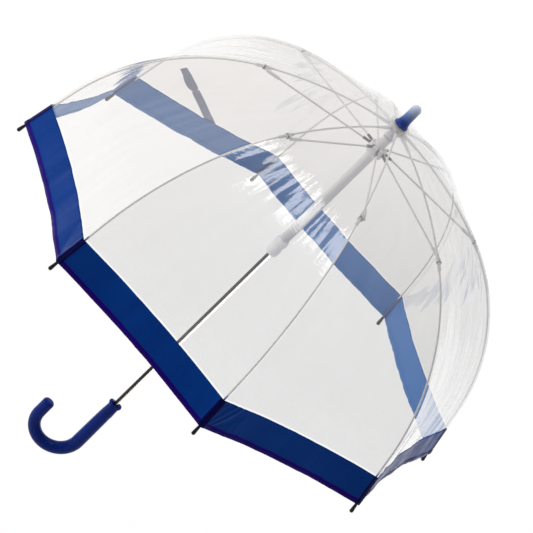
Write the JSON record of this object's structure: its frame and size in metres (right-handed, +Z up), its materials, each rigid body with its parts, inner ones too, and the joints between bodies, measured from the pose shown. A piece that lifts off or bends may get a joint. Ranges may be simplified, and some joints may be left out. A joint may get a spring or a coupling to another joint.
{
  "type": "umbrella",
  "caption": "Open child's dome umbrella: clear film canopy with a dark blue border, ribs with stretchers, a sliding runner and a crook handle.",
  "frame": {"origin": "on the shaft's axis, at the middle of the handle's straight grip", "axes": "+Z up the shaft to the ferrule, the crook hooks towards -X, +Y completes a right-handed frame"},
  "size_m": [0.6596, 0.6596, 0.6777],
  "materials": {
    "steel_shaft": "polished dark steel",
    "ferrule": "gloss",
    "washer": "translucent film",
    "notch_plastic": "satin",
    "pivot_wire": "drawn wire",
    "runner_plastic": "satin gloss",
    "hub_plastic": "satin",
    "handle_plastic": "satin gloss",
    "strap_band": "embossed film",
    "fastener_pad": "hook and loop pad",
    "rib_rod": "coated rod",
    "tip_plastic": "gloss",
    "stretcher_rod": "coated rod with steel ends",
    "clear_film": "clear soft film",
    "clear_film_with_border": "clear soft film with an opaque navy border"
  },
  "bodies": {
    "shaft_and_handle": {"shaft_rod": "steel_shaft", "ferrule_cap": "ferrule", "canopy_washer": "washer", "top_notch": "notch_plastic", "notch_wire": "pivot_wire", "crook_handle": "handle_plastic"},
    "runner": {"runner_sleeve": "runner_plastic", "stretcher_hub": "hub_plastic", "hub_wire": "pivot_wire", "runner_grip": "runner_plastic"},
    "upper_rib_1": {"rib_upper_1": "rib_rod"},
    "lower_rib_1": {"rib_lower_1": "rib_rod", "rib_tip_1": "tip_plastic"},
    "stretcher_arm_1": {"stretcher_1": "stretcher_rod"},
    "upper_gore_1": {"gore_upper_1": "clear_film"},
    "lower_gore_1": {"gore_lower_1": "clear_film_with_border"},
    "upper_rib_2": {"rib_upper_2": "rib_rod"},
    "lower_rib_2": {"rib_lower_2": "rib_rod", "rib_tip_2": "tip_plastic"},
    "stretcher_arm_2": {"stretcher_2": "stretcher_rod"},
    "upper_gore_2": {"gore_upper_2": "clear_film"},
    "lower_gore_2": {"gore_lower_2": "clear_film_with_border"},
    "upper_rib_3": {"rib_upper_3": "rib_rod"},
    "lower_rib_3": {"rib_lower_3": "rib_rod", "rib_tip_3": "tip_plastic"},
    "stretcher_arm_3": {"stretcher_3": "stretcher_rod"},
    "upper_gore_3": {"gore_upper_3": "clear_film"},
    "lower_gore_3": {"gore_lower_3": "clear_film_with_border"},
    "upper_rib_4": {"rib_upper_4": "rib_rod"},
    "lower_rib_4": {"rib_lower_4": "rib_rod", "rib_tip_4": "tip_plastic"},
    "stretcher_arm_4": {"stretcher_4": "stretcher_rod"},
    "upper_gore_4": {"gore_upper_4": "clear_film"},
    "lower_gore_4": {"gore_lower_4": "clear_film_with_border"},
    "upper_rib_5": {"rib_upper_5": "rib_rod"},
    "lower_rib_5": {"rib_lower_5": "rib_rod", "rib_tip_5": "tip_plastic"},
    "stretcher_arm_5": {"stretcher_5": "stretcher_rod"},
    "upper_gore_5": {"gore_upper_5": "clear_film"},
    "lower_gore_5": {"gore_lower_5": "clear_film_with_border"},
    "upper_rib_6": {"rib_upper_6": "rib_rod"},
    "lower_rib_6": {"rib_lower_6": "rib_rod", "rib_tip_6": "tip_plastic"},
    "stretcher_arm_6": {"stretcher_6": "stretcher_rod"},
    "upper_gore_6": {"gore_upper_6": "clear_film"},
    "lower_gore_6": {"gore_lower_6": "clear_film_with_border"},
    "upper_rib_7": {"rib_upper_7": "rib_rod"},
    "lower_rib_7": {"rib_lower_7": "rib_rod", "rib_tip_7": "tip_plastic"},
    "stretcher_arm_7": {"stretcher_7": "stretcher_rod"},
    "upper_gore_7": {"gore_upper_7": "clear_film"},
    "lower_gore_7": {"gore_lower_7": "clear_film_with_border", "tie_strap": "strap_band", "strap_fastener": "fastener_pad"},
    "upper_rib_8": {"rib_upper_8": "rib_rod"},
    "lower_rib_8": {"rib_lower_8": "rib_rod", "rib_tip_8": "tip_plastic"},
    "stretcher_arm_8": {"stretcher_8": "stretcher_rod"},
    "upper_gore_8": {"gore_upper_8": "clear_film"},
    "lower_gore_8": {"gore_lower_8": "clear_film_with_border"}
  },
  "joints": [
    {"name": "runner_slide", "type": "slide", "parent": "shaft_and_handle", "child": "runner", "axis": [0, 0, -1], "range_m": [0, 0.29021]},
    {"name": "rib_fold_1", "type": "hinge", "parent": "shaft_and_handle", "child": "upper_rib_1", "pos_m": [-0.0092, 0, 0.561], "axis": [0, -1, 0], "range_deg": [0, 71.49]},
    {"name": "rib_flex_1", "type": "hinge", "parent": "upper_rib_1", "child": "lower_rib_1", "pos_m": [-0.1676, 0, 0.5134], "axis": [0, -1, 0], "range_deg": [-40.03, 0]},
    {"name": "stretcher_fold_1", "type": "hinge", "parent": "runner", "child": "stretcher_arm_1", "pos_m": [-0.0092, 0, 0.527], "axis": [0, -1, 0], "range_deg": [-93.05, 0]},
    {"name": "gore_fold_1", "type": "hinge", "parent": "shaft_and_handle", "child": "upper_gore_1", "pos_m": [-0.00785, -0.00325, 0.561], "axis": [0.3827, -0.9239, 0], "range_deg": [0, 71.49], "deforming": ["gore_upper_1"]},
    {"name": "gore_flex_1", "type": "hinge", "parent": "upper_gore_1", "child": "lower_gore_1", "pos_m": [-0.14306, -0.05926, 0.5134], "axis": [0.3827, -0.9239, 0], "range_deg": [-40.03, 0], "deforming": ["gore_lower_1"]},
    {"name": "rib_fold_2", "type": "hinge", "parent": "shaft_and_handle", "child": "upper_rib_2", "pos_m": [-0.00651, -0.00651, 0.561], "axis": [0.7071, -0.7071, 0], "range_deg": [0, 71.49]},
    {"name": "rib_flex_2", "type": "hinge", "parent": "upper_rib_2", "child": "lower_rib_2", "pos_m": [-0.11851, -0.11851, 0.5134], "axis": [0.7071, -0.7071, 0], "range_deg": [-40.03, 0]},
    {"name": "stretcher_fold_2", "type": "hinge", "parent": "runner", "child": "stretcher_arm_2", "pos_m": [-0.00651, -0.00651, 0.527], "axis": [0.7071, -0.7071, 0], "range_deg": [-93.05, 0]},
    {"name": "gore_fold_2", "type": "hinge", "parent": "shaft_and_handle", "child": "upper_gore_2", "pos_m": [-0.00325, -0.00785, 0.561], "axis": [0.9239, -0.3827, 0], "range_deg": [0, 71.49], "deforming": ["gore_upper_2"]},
    {"name": "gore_flex_2", "type": "hinge", "parent": "upper_gore_2", "child": "lower_gore_2", "pos_m": [-0.05926, -0.14306, 0.5134], "axis": [0.9239, -0.3827, 0], "range_deg": [-40.03, 0], "deforming": ["gore_lower_2"]},
    {"name": "rib_fold_3", "type": "hinge", "parent": "shaft_and_handle", "child": "upper_rib_3", "pos_m": [0, -0.0092, 0.561], "axis": [1, 0, 0], "range_deg": [0, 71.49]},
    {"name": "rib_flex_3", "type": "hinge", "parent": "upper_rib_3", "child": "lower_rib_3", "pos_m": [0, -0.1676, 0.5134], "axis": [1, 0, 0], "range_deg": [-40.03, 0]},
    {"name": "stretcher_fold_3", "type": "hinge", "parent": "runner", "child": "stretcher_arm_3", "pos_m": [0, -0.0092, 0.527], "axis": [1, 0, 0], "range_deg": [-93.05, 0]},
    {"name": "gore_fold_3", "type": "hinge", "parent": "shaft_and_handle", "child": "upper_gore_3", "pos_m": [0.00325, -0.00785, 0.561], "axis": [0.9239, 0.3827, 0], "range_deg": [0, 71.49], "deforming": ["gore_upper_3"]},
    {"name": "gore_flex_3", "type": "hinge", "parent": "upper_gore_3", "child": "lower_gore_3", "pos_m": [0.05926, -0.14306, 0.5134], "axis": [0.9239, 0.3827, 0], "range_deg": [-40.03, 0], "deforming": ["gore_lower_3"]},
    {"name": "rib_fold_4", "type": "hinge", "parent": "shaft_and_handle", "child": "upper_rib_4", "pos_m": [0.00651, -0.00651, 0.561], "axis": [0.7071, 0.7071, 0], "range_deg": [0, 71.49]},
    {"name": "rib_flex_4", "type": "hinge", "parent": "upper_rib_4", "child": "lower_rib_4", "pos_m": [0.11851, -0.11851, 0.5134], "axis": [0.7071, 0.7071, 0], "range_deg": [-40.03, 0]},
    {"name": "stretcher_fold_4", "type": "hinge", "parent": "runner", "child": "stretcher_arm_4", "pos_m": [0.00651, -0.00651, 0.527], "axis": [0.7071, 0.7071, 0], "range_deg": [-93.05, 0]},
    {"name": "gore_fold_4", "type": "hinge", "parent": "shaft_and_handle", "child": "upper_gore_4", "pos_m": [0.00785, -0.00325, 0.561], "axis": [0.3827, 0.9239, 0], "range_deg": [0, 71.49], "deforming": ["gore_upper_4"]},
    {"name": "gore_flex_4", "type": "hinge", "parent": "upper_gore_4", "child": "lower_gore_4", "pos_m": [0.14306, -0.05926, 0.5134], "axis": [0.3827, 0.9239, 0], "range_deg": [-40.03, 0], "deforming": ["gore_lower_4"]},
    {"name": "rib_fold_5", "type": "hinge", "parent": "shaft_and_handle", "child": "upper_rib_5", "pos_m": [0.0092, 0, 0.561], "axis": [0, 1, 0], "range_deg": [0, 71.49]},
    {"name": "rib_flex_5", "type": "hinge", "parent": "upper_rib_5", "child": "lower_rib_5", "pos_m": [0.1676, 0, 0.5134], "axis": [0, 1, 0], "range_deg": [-40.03, 0]},
    {"name": "stretcher_fold_5", "type": "hinge", "parent": "runner", "child": "stretcher_arm_5", "pos_m": [0.0092, 0, 0.527], "axis": [0, 1, 0], "range_deg": [-93.05, 0]},
    {"name": "gore_fold_5", "type": "hinge", "parent": "shaft_and_handle", "child": "upper_gore_5", "pos_m": [0.00785, 0.00325, 0.561], "axis": [-0.3827, 0.9239, 0], "range_deg": [0, 71.49], "deforming": ["gore_upper_5"]},
    {"name": "gore_flex_5", "type": "hinge", "parent": "upper_gore_5", "child": "lower_gore_5", "pos_m": [0.14306, 0.05926, 0.5134], "axis": [-0.3827, 0.9239, 0], "range_deg": [-40.03, 0], "deforming": ["gore_lower_5"]},
    {"name": "rib_fold_6", "type": "hinge", "parent": "shaft_and_handle", "child": "upper_rib_6", "pos_m": [0.00651, 0.00651, 0.561], "axis": [-0.7071, 0.7071, 0], "range_deg": [0, 71.49]},
    {"name": "rib_flex_6", "type": "hinge", "parent": "upper_rib_6", "child": "lower_rib_6", "pos_m": [0.11851, 0.11851, 0.5134], "axis": [-0.7071, 0.7071, 0], "range_deg": [-40.03, 0]},
    {"name": "stretcher_fold_6", "type": "hinge", "parent": "runner", "child": "stretcher_arm_6", "pos_m": [0.00651, 0.00651, 0.527], "axis": [-0.7071, 0.7071, 0], "range_deg": [-93.05, 0]},
    {"name": "gore_fold_6", "type": "hinge", "parent": "shaft_and_handle", "child": "upper_gore_6", "pos_m": [0.00325, 0.00785, 0.561], "axis": [-0.9239, 0.3827, 0], "range_deg": [0, 71.49], "deforming": ["gore_upper_6"]},
    {"name": "gore_flex_6", "type": "hinge", "parent": "upper_gore_6", "child": "lower_gore_6", "pos_m": [0.05926, 0.14306, 0.5134], "axis": [-0.9239, 0.3827, 0], "range_deg": [-40.03, 0], "deforming": ["gore_lower_6"]},
    {"name": "rib_fold_7", "type": "hinge", "parent": "shaft_and_handle", "child": "upper_rib_7", "pos_m": [0, 0.0092, 0.561], "axis": [-1, 0, 0], "range_deg": [0, 71.49]},
    {"name": "rib_flex_7", "type": "hinge", "parent": "upper_rib_7", "child": "lower_rib_7", "pos_m": [0, 0.1676, 0.5134], "axis": [-1, 0, 0], "range_deg": [-40.03, 0]},
    {"name": "stretcher_fold_7", "type": "hinge", "parent": "runner", "child": "stretcher_arm_7", "pos_m": [0, 0.0092, 0.527], "axis": [-1, 0, 0], "range_deg": [-93.05, 0]},
    {"name": "gore_fold_7", "type": "hinge", "parent": "shaft_and_handle", "child": "upper_gore_7", "pos_m": [-0.00325, 0.00785, 0.561], "axis": [-0.9239, -0.3827, 0], "range_deg": [0, 71.49], "deforming": ["gore_upper_7"]},
    {"name": "gore_flex_7", "type": "hinge", "parent": "upper_gore_7", "child": "lower_gore_7", "pos_m": [-0.05926, 0.14306, 0.5134], "axis": [-0.9239, -0.3827, 0], "range_deg": [-40.03, 0], "deforming": ["gore_lower_7", "tie_strap", "strap_fastener"]},
    {"name": "rib_fold_8", "type": "hinge", "parent": "shaft_and_handle", "child": "upper_rib_8", "pos_m": [-0.00651, 0.00651, 0.561], "axis": [-0.7071, -0.7071, 0], "range_deg": [0, 71.49]},
    {"name": "rib_flex_8", "type": "hinge", "parent": "upper_rib_8", "child": "lower_rib_8", "pos_m": [-0.11851, 0.11851, 0.5134], "axis": [-0.7071, -0.7071, 0], "range_deg": [-40.03, 0]},
    {"name": "stretcher_fold_8", "type": "hinge", "parent": "runner", "child": "stretcher_arm_8", "pos_m": [-0.00651, 0.00651, 0.527], "axis": [-0.7071, -0.7071, 0], "range_deg": [-93.05, 0]},
    {"name": "gore_fold_8", "type": "hinge", "parent": "shaft_and_handle", "child": "upper_gore_8", "pos_m": [-0.00785, 0.00325, 0.561], "axis": [-0.3827, -0.9239, 0], "range_deg": [0, 71.49], "deforming": ["gore_upper_8"]},
    {"name": "gore_flex_8", "type": "hinge", "parent": "upper_gore_8", "child": "lower_gore_8", "pos_m": [-0.14306, 0.05926, 0.5134], "axis": [-0.3827, -0.9239, 0], "range_deg": [-40.03, 0], "deforming": ["gore_lower_8"]}
  ],
  "couplings": [
    {"joint": "rib_fold_1", "follows": "runner_slide", "rad_per_m": 4.2963},
    {"joint": "rib_flex_1", "follows": "runner_slide", "rad_per_m": -2.4046},
    {"joint": "stretcher_fold_1", "follows": "runner_slide", "rad_per_m": -5.5929},
    {"joint": "gore_fold_1", "follows": "runner_slide", "rad_per_m": 4.2963},
    {"joint": "gore_flex_1", "follows": "runner_slide", "rad_per_m": -2.4046},
    {"joint": "rib_fold_2", "follows": "runner_slide", "rad_per_m": 4.2963},
    {"joint": "rib_flex_2", "follows": "runner_slide", "rad_per_m": -2.4046},
    {"joint": "stretcher_fold_2", "follows": "runner_slide", "rad_per_m": -5.5929},
    {"joint": "gore_fold_2", "follows": "runner_slide", "rad_per_m": 4.2963},
    {"joint": "gore_flex_2", "follows": "runner_slide", "rad_per_m": -2.4046},
    {"joint": "rib_fold_3", "follows": "runner_slide", "rad_per_m": 4.2963},
    {"joint": "rib_flex_3", "follows": "runner_slide", "rad_per_m": -2.4046},
    {"joint": "stretcher_fold_3", "follows": "runner_slide", "rad_per_m": -5.5929},
    {"joint": "gore_fold_3", "follows": "runner_slide", "rad_per_m": 4.2963},
    {"joint": "gore_flex_3", "follows": "runner_slide", "rad_per_m": -2.4046},
    {"joint": "rib_fold_4", "follows": "runner_slide", "rad_per_m": 4.2963},
    {"joint": "rib_flex_4", "follows": "runner_slide", "rad_per_m": -2.4046},
    {"joint": "stretcher_fold_4", "follows": "runner_slide", "rad_per_m": -5.5929},
    {"joint": "gore_fold_4", "follows": "runner_slide", "rad_per_m": 4.2963},
    {"joint": "gore_flex_4", "follows": "runner_slide", "rad_per_m": -2.4046},
    {"joint": "rib_fold_5", "follows": "runner_slide", "rad_per_m": 4.2963},
    {"joint": "rib_flex_5", "follows": "runner_slide", "rad_per_m": -2.4046},
    {"joint": "stretcher_fold_5", "follows": "runner_slide", "rad_per_m": -5.5929},
    {"joint": "gore_fold_5", "follows": "runner_slide", "rad_per_m": 4.2963},
    {"joint": "gore_flex_5", "follows": "runner_slide", "rad_per_m": -2.4046},
    {"joint": "rib_fold_6", "follows": "runner_slide", "rad_per_m": 4.2963},
    {"joint": "rib_flex_6", "follows": "runner_slide", "rad_per_m": -2.4046},
    {"joint": "stretcher_fold_6", "follows": "runner_slide", "rad_per_m": -5.5929},
    {"joint": "gore_fold_6", "follows": "runner_slide", "rad_per_m": 4.2963},
    {"joint": "gore_flex_6", "follows": "runner_slide", "rad_per_m": -2.4046},
    {"joint": "rib_fold_7", "follows": "runner_slide", "rad_per_m": 4.2963},
    {"joint": "rib_flex_7", "follows": "runner_slide", "rad_per_m": -2.4046},
    {"joint": "stretcher_fold_7", "follows": "runner_slide", "rad_per_m": -5.5929},
    {"joint": "gore_fold_7", "follows": "runner_slide", "rad_per_m": 4.2963},
    {"joint": "gore_flex_7", "follows": "runner_slide", "rad_per_m": -2.4046},
    {"joint": "rib_fold_8", "follows": "runner_slide", "rad_per_m": 4.2963},
    {"joint": "rib_flex_8", "follows": "runner_slide", "rad_per_m": -2.4046},
    {"joint": "stretcher_fold_8", "follows": "runner_slide", "rad_per_m": -5.5929},
    {"joint": "gore_fold_8", "follows": "runner_slide", "rad_per_m": 4.2963},
    {"joint": "gore_flex_8", "follows": "runner_slide", "rad_per_m": -2.4046}
  ]
}
